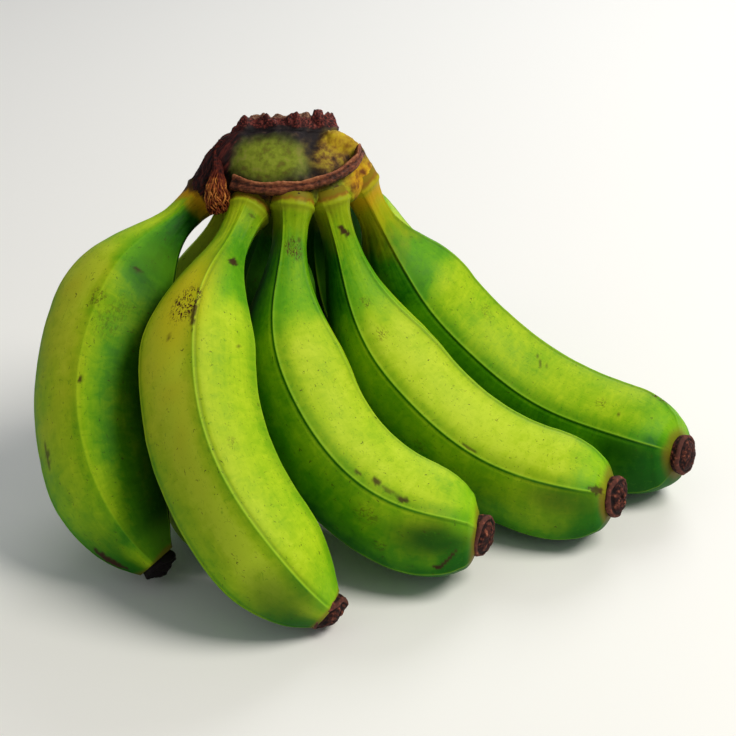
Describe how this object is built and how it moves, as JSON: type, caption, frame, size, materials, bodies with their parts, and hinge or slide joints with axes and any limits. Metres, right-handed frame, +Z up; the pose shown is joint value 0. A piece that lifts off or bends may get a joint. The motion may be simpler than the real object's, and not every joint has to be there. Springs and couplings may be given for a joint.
{
  "type": "plantain hand",
  "caption": "Hand of green plantains: curved five-sided fruits in two rows on one cut crown, set down crown up on their bellies and ends.",
  "frame": {"origin": "on the ground, under the middle of the hand's box", "axes": "+Z up towards the crown; the row of five faces -Y; the finger ends point towards +X"},
  "size_m": [0.2858, 0.2736, 0.1641],
  "materials": {
    "peel": "satin",
    "crown_skin": "satin",
    "dried_bract": "matte",
    "stub_fibre": "matte",
    "blossom_cork": "matte"
  },
  "bodies": {
    "root": {"crown": "crown_skin", "bract_scar": "dried_bract", "dried_stub": "stub_fibre", "finger_front_1": "peel", "blossom_end_front_1": "blossom_cork", "finger_front_2": "peel", "blossom_end_front_2": "blossom_cork", "finger_front_3": "peel", "blossom_end_front_3": "blossom_cork", "finger_front_4": "peel", "blossom_end_front_4": "blossom_cork", "finger_front_5": "peel", "blossom_end_front_5": "blossom_cork", "finger_back_1": "peel", "blossom_end_back_1": "blossom_cork", "finger_back_2": "peel", "blossom_end_back_2": "blossom_cork", "finger_back_3": "peel", "blossom_end_back_3": "blossom_cork", "finger_back_4": "peel", "blossom_end_back_4": "blossom_cork"}
  },
  "joints": []
}
